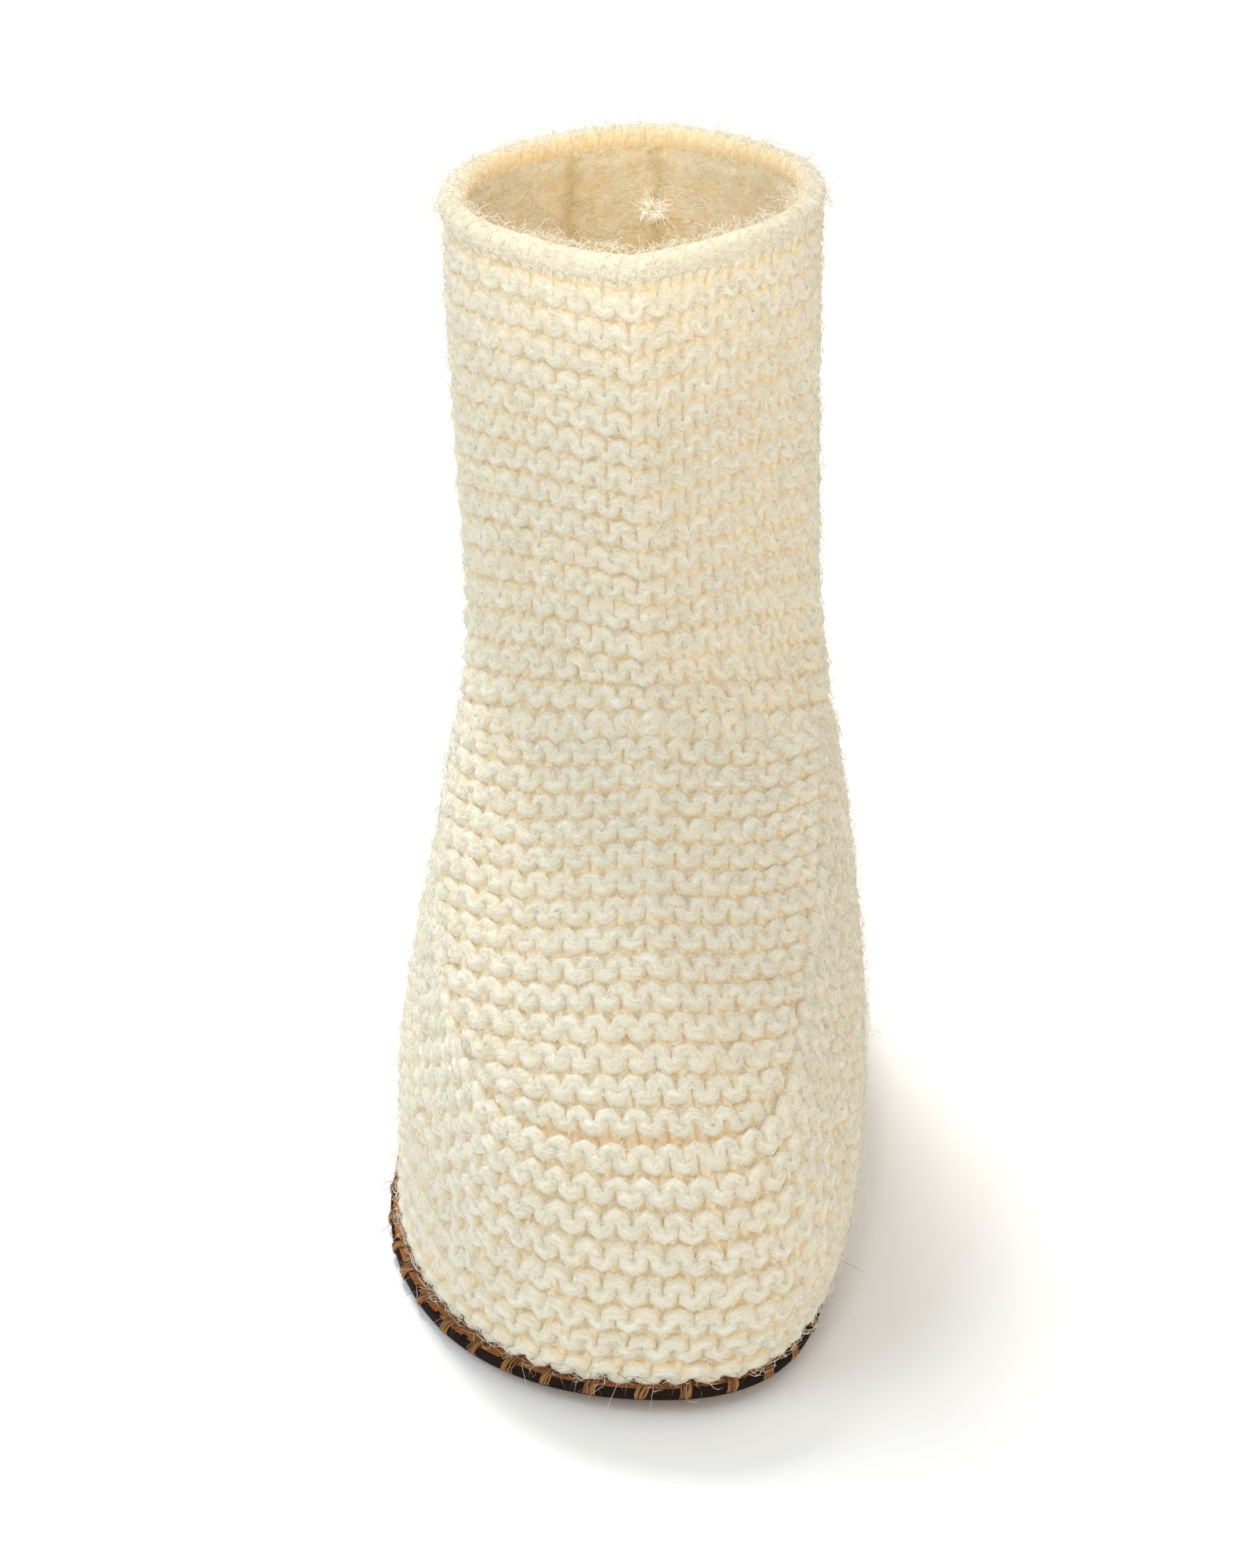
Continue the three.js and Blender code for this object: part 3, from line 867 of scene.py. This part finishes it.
def knitFlap(work):
    # rows cross the foot from seam to seam at one stitch width, and their ends dive into the seam
    rows = work["rows"]
    spacing = 1 / (rows - 0.4)
    turns = np.radians(np.linspace(-work["widest"], work["widest"], 641))
    levels = np.arange(-2, 2 * rows + 4) * spacing / 2
    panel = makePanel(levels, lambda level: flapSection(level, turns)[0], turns, work)
    strands = []
    for row in range(rows):
        level = row * spacing
        edge = flapSection(level, turns)[1]
        line = panel["grid"][2 * row + 2, :, 6]
        number = panel["start"] + np.arange(len(line)) / knit["grid"]
        ends = [np.interp(side * edge, line, number) + side * work["endSpare"] for side in (-1, 1)]
        sway = work["sway"] if row % 2 else -work["sway"]
        strands.append(yarnRow(panel, lambda turn, level=level: (level + 0 * turn, spacing), *ends, sway))
    return strands


shaftYarn = knitShaft(shaftWork)
flapYarn = knitFlap(flapWork)
wallYarn = knitWall(wallWork)
for name, rows in (("shaftKnitting", shaftYarn), ("flapKnitting", flapYarn), ("wallKnitting", wallYarn)):
    ridePiece(strandMesh(name, rows, knit["yarn"], 1, creamWool), "cream_wool")
print("knitting done")

# Cast-off edge: a round core along the collar with the yarn wound over it
rimWork = {
    "core": 1.85, "yarn": 0.85, "lift": 128.3,
    "wind": 1.15, "turns": 66, "steps": 12, "jitter": 0.06,
    "coreDepth": 1.2, "windDepth": 1.5,     # how far out of the wall they count for their colour
}


def collarRing(height, count, proud):
    place, normal = wallPoint(height + 0 * allRound, allRound, proud)
    along = lengthAlong(place)
    wanted = np.linspace(0, along[-1], count + 1)[:-1]
    rings = ([np.interp(wanted, along, column) for column in line.T] for line in (place, normal))
    return [np.stack(ring, axis=1) for ring in rings]


def makeCollarRoll(work):
    count = work["turns"] * work["steps"]
    place, normal = collarRing(work["lift"], count, -shoe["wall"] / 2)
    angle = np.arange(count) / work["steps"] * 2 * np.pi
    out = np.cos(angle) * work["wind"]
    up = np.sin(angle) * work["wind"]
    wound = place + normal * out[:, None] + np.array([0, 0, 1.0]) * up[:, None]
    core = {"points": place, "normals": normal, "depths": np.full(count, work["coreDepth"]),
            "thickness": np.full(count, work["core"] / work["yarn"]), "closed": True}
    wind = {"points": wound, "normals": normal, "depths": out + work["windDepth"],
            "thickness": 1 + slowNoise(count, 5, work["jitter"]), "closed": True}
    return strandMesh("collarRoll", [core, wind], work["yarn"], 1, rimShadedWool)


ridePiece(makeCollarRoll(rimWork), "cream_wool")
print("collar done")

# Core of the knitted wall, the felted middle that shows between the loops; its warm colour is painted shade
# and its glow painted light
coreWork = {"around": 120, "up": 56, "thickness": 2.8, "inward": 0.7, "foot": 0.2, "top": 127.2}


def makeCore(work):
    shell = bmesh.new()
    bmesh.ops.create_grid(shell, x_segments=work["around"], y_segments=work["up"], size=0.5)
    places = np.array([vert.co[:] for vert in shell.verts])
    turns = places[:, 0] * 2 * np.pi
    share = places[:, 1] + 0.5
    foot = footHeight(turns) + work["foot"]
    heights = foot + (work["top"] - foot) * share
    spots, _ = wallPoint(heights, turns, -shoe["wall"] / 2 - work["inward"])
    for vert, spot in zip(shell.verts, spots):
        vert.co = Vector(spot) * mm
    bmesh.ops.remove_doubles(shell, verts=shell.verts, dist=1e-6)
    smoothOutward(shell)
    piece = shellPiece("knitCore", shell, coreShadeAndGlow)
    wall = piece.modifiers.new("wall", "SOLIDIFY")
    wall.thickness = work["thickness"] * mm
    wall.offset = 0
    return piece


ridePiece(makeCore(coreWork), "cream_wool", "knit_upper")
print("core done")

# Leather sole and felt insole; bands are loops of faces that keep their flat sides even
soleWork = {
    "points": 288, "topBevel": 0.4, "underBevel": 0.5, "bands": (0.45, 1.3, 3.0), "cuts": 5.0,
    "edgeLift": 0.6, "edgeBand": 5.0,       # the underside is rounded up towards its edge
}
insoleWork = {
    "points": 200, "topBevel": 0.6, "underBevel": 0.3, "bands": (0.8, 1.3, 3.0), "cuts": 6.0,
    "inset": 5.2, "height": 4.5,            # inside the upper's outline at this height
}


def offsetOutline(shape, count, inset=0.0):
    # closed outline with even steps, moved inward by inset, with its directions inward and along
    points = np.stack(outline(shape, np.linspace(-np.pi, np.pi, 2001)), axis=1)
    along = lengthAlong(points)
    wanted = np.linspace(0, along[-1], count + 1)[:-1]
    even = np.stack([np.interp(wanted, along, column) for column in points.T], axis=1)
    tangent = np.roll(even, -1, axis=0) - np.roll(even, 1, axis=0)
    tangent = tangent / np.linalg.norm(tangent, axis=1, keepdims=True)
    inward = np.stack([-tangent[:, 1], tangent[:, 0]], axis=1)
    return even + inward * inset, inward, tangent


def makeSlab(name, edge, bottomAt, thickness, work, top, side, under):
    # slab cut to an outline: edges rounded by bevel, then bent to the sole's rise
    flat = 0.9              # how upright the normal of a flat side is
    shell = bmesh.new()
    bmesh.ops.create_circle(shell, cap_ends=True, segments=len(edge), radius=1.0)
    order = sorted(shell.verts, key=lambda vert: math.atan2(vert.co.y, vert.co.x))
    for vert, spot in zip(order, edge):
        vert.co = Vector((spot[0], spot[1], 0))
    made = bmesh.ops.extrude_face_region(shell, geom=list(shell.faces))
    raised = [item for item in made["geom"] if isinstance(item, bmesh.types.BMVert)]
    bmesh.ops.translate(shell, verts=raised, vec=(0, 0, thickness))
    bmesh.ops.recalc_face_normals(shell, faces=shell.faces)

    def onRim(line, low):
        # between a flat side and the edge band
        tilts = [abs(face.normal.z) for face in line.link_faces]
        level = all((vert.co.z < thickness / 2) == low for vert in line.verts)
        return level and len(tilts) == 2 and max(tilts) > flat and min(tilts) < 0.5

    for low, size in ((False, work["topBevel"]), (True, work["underBevel"])):
        rim = [line for line in shell.edges if onRim(line, low)]
        bmesh.ops.bevel(shell, geom=rim, offset=size, offset_type="OFFSET", segments=3, profile=0.5,
                        affect="EDGES", material=-1)
    for band in work["bands"]:
        big = [face for face in shell.faces if abs(face.normal.z) > flat and len(face.verts) > 20]
        bmesh.ops.inset_region(shell, faces=big, thickness=band, use_even_offset=True)
    for y in np.arange(-60, 60, work["cuts"]):
        everything = list(shell.verts) + list(shell.edges) + list(shell.faces)
        bmesh.ops.bisect_plane(shell, geom=everything, plane_co=(0, float(y), 0), plane_no=(0, 1, 0))
    smoothOutward(shell)
    for face in shell.faces:
        middle = face.calc_center_median()
        inside = np.min(np.linalg.norm(edge - np.array(middle[:2]), axis=1))
        onTop = 0 if middle.z > thickness / 2 else 2
        face.material_index = onTop if abs(face.normal.z) > 0.8 and inside > work["bands"][0] + 0.35 else 1
    for vert in shell.verts:
        vert.co.z += bottomAt(vert.co)
        vert.co *= mm
    bmesh.ops.triangulate(shell, faces=shell.faces)
    return shellPiece(name, shell, top, side, under)


def makeSole(work):
    edge = offsetOutline(soleShape, work["points"])[0]

    def bottomAt(place):
        near = np.min(np.linalg.norm(edge - np.array(place[:2]), axis=1))
        low = 1 - np.clip(place.z / shoe["soleThickness"], 0, 1)
        return float(soleRise(place.y) + work["edgeLift"] * smooth01(1 - near / work["edgeBand"]) * low)

    return makeSlab("stitchedSole", edge, bottomAt, shoe["soleThickness"], work,
                    nubuckTop, burnishedEdge, suedeUnder)


def makeInsole(work):
    base = upperShape(np.array(work["height"]))
    edge = offsetOutline(base, work["points"], work["inset"])[0]
    lift = shoe["soleThickness"] + shoe["gap"]
    return makeSlab("feltInsole", edge, lambda place: float(soleRise(place.y)) + lift,
                    shoe["insoleThickness"], work, feltInsole, feltInsole, feltInsole)


ridePiece(makeSole(soleWork), "sole_leather", "leather_sole")
ridePiece(makeInsole(insoleWork), "insole_felt", "wool_insole")
print("sole and insole done")

# Whip stitches over the sole's edge. Their route gives the distance in from the edge, then the
# height over the sole's top, or over its underside where the third number is 1
stitchWork = {
    "spacing": 6.3, "strands": 5, "spread": 0.33, "radius": 0.16, "slant": 1.2,
    "route": [(4.2, 2.6, 0), (3.2, 1.5, 0), (2.2, 0.55, 0), (1.2, 0.20, 0), (0.35, 0.16, 0),
              (-0.16, -0.45, 0), (-0.26, -1.2, 0), (-0.14, 0.75, 1), (0.5, 0.30, 1), (1.6, 0.05, 1),
              (3.0, -0.02, 1), (4.3, 0.35, 1)],
    "slanted": 6,           # steps of the route that lean
    "placeJitter": 0.07, "slantJitter": 0.35, "strandJitter": 0.09, "insetJitter": 0.03,
    "spreads": (0.75, 1.1), "thickness": (0.8, 1.15), "shade": (0.15, 1.0),
    "floorGap": 0.03,
}


def makeWhipStitches(work):
    count = 2400
    edge, inward, _ = offsetOutline(soleShape, count)
    length = np.linalg.norm(np.diff(edge, axis=0), axis=1).sum()
    number = round(length / work["spacing"])
    strands = []
    for k in range(number):
        middle = (k + rng.normal(0, work["placeJitter"])) * count / number
        slant = work["slant"] + rng.normal(0, work["slantJitter"])
        spread = work["spread"] * rng.uniform(*work["spreads"])
        for m in range(work["strands"]):
            points = []
            for step, (inset, height, under) in enumerate(work["route"]):
                lean = slant * max(1 - step / work["slanted"], 0)
                shift = (m - (work["strands"] - 1) / 2) * spread + lean + rng.normal(0, work["strandJitter"])
                i = int(middle + shift / (length / count)) % count
                x, y = edge[i] + inward[i] * (inset + rng.normal(0, work["insetJitter"]))
                lift = soleWork["edgeLift"] * (1 - max(inset, 0) / soleWork["edgeBand"])
                base = float(soleRise(y)) + (lift if under else shoe["soleThickness"])
                points.append((x, y, max(base + height, work["radius"] + work["floorGap"])))
            points = cutCorners(np.array(points))
            thickness = np.full(len(points), rng.uniform(*work["thickness"]))
            strands.append({"points": points, "thickness": thickness, "closed": False,
                            "shade": rng.uniform(*work["shade"])})
    return strandMesh("whipStitches", strands, work["radius"], 0, tanThread)


def cutCorners(points):
    # smoother path that keeps its ends
    a = points[:-1] * 0.75 + points[1:] * 0.25
    b = points[:-1] * 0.25 + points[1:] * 0.75
    middle = np.stack([a, b], axis=1).reshape(-1, 3)
    return np.concatenate([points[:1], middle[1:-1], points[-1:]])


ridePiece(makeWhipStitches(stitchWork), "stitch_thread")
print("stitches done")

# Wool hairs that stand off the knitting: a short nap, fewer long ones, and some over the collar
napWork = {
    "shaft": 13000, "foot": 18500, "lining": 2600, "radius": 0.05, "steps": 3,
    "short": 1.2, "long": 3.4,
    "low": 0.05, "high": 0.45,      # how steeply they rise
}
hairWork = {
    "shaft": 1500, "foot": 2000, "lining": 300, "radius": 0.032, "steps": 5,
    "short": 1.5, "long": 5.0,
    "low": 0.15, "high": 0.7,
}
rimHairWork = {
    "count": 2600, "radius": 0.04, "steps": 4,
    "short": 0.8, "long": 3.4,
    "low": 0.2, "high": 0.9,
    "angles": (-0.3, 2.6),          # round the roll, 0 is outwards
    "sunk": 0.1,
}
fluffWork = dict(rimHairWork, count=130, long=4.0, turn=3.10, height=119.0, inward=1.2, size=0.5)
hairForm = {
    "spread": (1.3, 3.0),           # most hairs are nearer to the short end
    "curl": 0.5, "arc": 2.4,
    "lowest": 0.3,                  # over the floor
    "ends": (1.1, 0.7),             # thickness at the root and at the tip
    "shade": (0.3, 1.0),
}


def hairStrands(roots, normals, work):
    strands = []
    for root, normal in zip(roots, normals):
        loose = rng.normal(0, 1, 3)
        side = loose - normal * (loose @ normal)
        side = side / np.linalg.norm(side)
        other = np.cross(normal, side)
        length = work["short"] + (work["long"] - work["short"]) * rng.beta(*hairForm["spread"])
        rise = rng.uniform(work["low"], work["high"])
        curl = rng.normal(0, hairForm["curl"])
        t = np.linspace(0, 1, work["steps"])[:, None]
        path = root + side * length * t + normal * (length * rise * np.sin(t * hairForm["arc"]))
        path = path + other * (curl * length * t**2)
        path[:, 2] = np.maximum(path[:, 2], hairForm["lowest"])
        strands.append({"points": path, "thickness": np.linspace(*hairForm["ends"], work["steps"]),
                        "closed": False, "shade": rng.uniform(*hairForm["shade"])})
    return strands


def yarnRoots(rows, count, outside, lowest):
    # random places on the loops that face out, or in
    places = np.concatenate([row["points"] for row in rows])
    normals = np.concatenate([row["normals"] for row in rows])
    depths = np.concatenate([row["depths"] for row in rows])
    facing = depths > 0.1 if outside else depths < -0.5
    picked = rng.choice(np.flatnonzero(facing & (places[:, 2] > lowest)), count)
    side, above = (1, 0.8) if outside else (-1, 1.25)       # over the yarn, or on the core's inner face
    return places[picked] + normals[picked] * knit["yarn"] * above * side, normals[picked] * side


def makeHairs(name, work):
    for part, rows, outside, lowest in (("shaft", shaftYarn, True, 0.0),
                                        ("foot", flapYarn + wallYarn, True, 0.0),
                                        ("lining", shaftYarn, False, 90.0)):
        strands = hairStrands(*yarnRoots(rows, work[part], outside, lowest), work)
        ridePiece(strandMesh(part + name, strands, work["radius"], 0, glowingCreamHair), "cream_wool")


def makeRimHairs(work):
    ring = 2000
    place, normal = collarRing(rimWork["lift"], ring, -shoe["wall"] / 2)
    picked = rng.integers(0, ring, work["count"])
    angle = rng.uniform(*work["angles"], work["count"])[:, None]
    facing = np.cos(angle) * normal[picked] + np.array([0, 0, 1.0]) * np.sin(angle)
    strands = hairStrands(place[picked] + facing * (rimWork["core"] - work["sunk"]), facing, work)
    ridePiece(strandMesh("rimHairs", strands, work["radius"], 0, glowingCreamHair), "cream_wool")


def makeFluffBall(work):
    # a small ball of fluff caught on the shaft's lining
    inner = wallPoint(np.array([work["height"]]), np.array([work["turn"]]), -shoe["wall"] - work["inward"])[0]
    loose = rng.normal(0, 1, (work["count"], 3))
    loose = loose / np.linalg.norm(loose, axis=1, keepdims=True)
    strands = hairStrands(inner + loose * work["size"], loose, work)
    ridePiece(strandMesh("fluffBall", strands, work["radius"], 0, glowingFluffHair), "cream_wool")


makeHairs("Nap", napWork)
makeHairs("Hairs", hairWork)
makeRimHairs(rimHairWork)
makeFluffBall(fluffWork)
print("hairs done")

# Loose fibres along the join of knitting and sole: brown ones from its edge, and a few of wool
brownWork = {"count": 1800, "radius": 0.042, "length": (1.2, 4.2), "inset": (2.2, 4.2), "height": (0.1, 2.6),
             "shade": (0.1, 1.0)}
creamWork = {"count": 120, "radius": 0.025, "length": (2.5, 8.0), "inset": (1.5, 4.5), "height": (0.2, 2.6),
             "shade": (0.4, 1.0)}
fibreForm = {
    "steps": 6, "outward": (0.2, 0.8), "sideways": 1.0, "shorter": 0.3,
    "curl": 0.8, "wave": 0.16, "waves": (4, 11), "arch": (0.08, 0.2),
    "drop": (0, 1.2), "lowest": 2.3,        # how far they may hang below their root
}


def makeLooseFibres(name, work, material, slotName):
    count = 1200
    edge, inward, tangent = offsetOutline(soleShape, count)
    form = fibreForm
    up = np.array([0, 0, 1])
    t = np.linspace(0, 1, form["steps"])[:, None]
    strands = []
    for _ in range(work["count"]):
        i = rng.integers(count)
        x, y = edge[i] + inward[i] * rng.uniform(*work["inset"])
        z = float(soleRise(y)) + shoe["soleThickness"] + rng.uniform(*work["height"])
        out = np.array([-inward[i][0], -inward[i][1], 0])
        side = np.array([tangent[i][0], tangent[i][1], 0]) * rng.normal(0, form["sideways"])
        heading = out * rng.uniform(*form["outward"]) + side
        heading = heading / np.linalg.norm(heading)
        length = rng.uniform(*work["length"])
        curl = rng.normal(0, form["curl"]) * t**2
        curl = curl + form["wave"] * np.sin(t * rng.uniform(*form["waves"]) + rng.uniform(0, 6))
        arch = rng.uniform(*form["arch"]) * np.sin(t * np.pi) * length
        path = np.array([x, y, z]) + heading * length * t * (1 - form["shorter"] * t)
        path = path + np.cross(heading, up) * length * curl + up * arch
        path[:, 2] = np.maximum(path[:, 2] - t[:, 0] * rng.uniform(*form["drop"]), z - form["lowest"])
        strands.append({"points": path, "thickness": np.linspace(*hairForm["ends"], len(t)),
                        "closed": False, "shade": rng.uniform(*work["shade"])})
    ridePiece(strandMesh(name, strands, work["radius"], 0, material), slotName)


makeLooseFibres("seamFibres", brownWork, brownHair, "stitch_thread")
makeLooseFibres("strayFibres", creamWork, glowingCreamHair, "cream_wool")
print("loose fibres done")

# Floor and light; a light with an angle is a narrow lamp, the others are round and soft
studio = {"floor": (0.95, 0.95, 0.945, 1), "world": (1.0, 0.998, 0.99, 1), "worldStrength": 0.61}
lights = {
    "keyLight": {"place": (-0.28, 0.75, 1.15), "aim": (0, 0, 0.05), "size": 0.4, "watts": 12.3,
                 "color": (1.0, 0.99, 0.97)},
    "fillLight": {"place": (0.9, -0.6, 0.5), "aim": (0, 0, 0.05), "size": 1.0, "watts": 2.9,
                  "color": (1.0, 0.83, 0.62)},
    "sideLight": {"place": (-0.78, -0.38, 0.80), "aim": (0, 0, 0.05), "size": 0.7, "watts": 3.6,
                  "color": (0.82, 0.93, 1.0)},
    "frontLamp": {"place": (-0.06, -0.36, 0.90), "aim": (0.0, -0.028, 0.06), "angle": 8.4, "radius": 0.1,
                  "watts": 8.2, "color": (0.86, 0.94, 1.0)},
    "liningLamp": {"place": (0.02, -0.35, 0.47), "aim": (-0.003, 0.048, 0.114), "angle": 6.6,
                   "radius": 0.01, "watts": 4.8, "color": (1.0, 0.94, 0.76)},
}


def makeFloor(facts):
    shell = bmesh.new()
    bmesh.ops.create_grid(shell, x_segments=1, y_segments=1, size=3.0)
    paper = newMaterial("paperFloor", {"Roughness": 0.9, "Base Color": facts["floor"]})[0]
    shellPiece("studioFloor", shell, paper)


def makeLight(name, facts):
    data = bpy.data.lights.new(name, "SPOT" if "angle" in facts else "AREA")
    if "angle" in facts:
        data.spot_size = math.radians(facts["angle"])
        data.spot_blend = 1.0
        data.shadow_soft_size = facts["radius"]
    else:
        data.shape = "DISK"
        data.size = facts["size"]
    data.energy = facts["watts"]
    data.color = facts["color"]
    light = bpy.data.objects.new(name, data)
    bpy.context.collection.objects.link(light)
    light.location = facts["place"]
    light.rotation_euler = (Vector(facts["aim"]) - light.location).to_track_quat("-Z", "Y").to_euler()


def makeWorld(facts):
    world = bpy.data.worlds.new("studioWorld")
    world.use_nodes = True
    background = world.node_tree.nodes["Background"]
    background.inputs["Color"].default_value = facts["world"]
    background.inputs["Strength"].default_value = facts["worldStrength"]
    bpy.context.scene.world = world


makeFloor(studio)
for name, facts in lights.items():
    makeLight(name, facts)
makeWorld(studio)
bpy.context.scene.view_settings.view_transform = "Standard"
print("stage and light done")
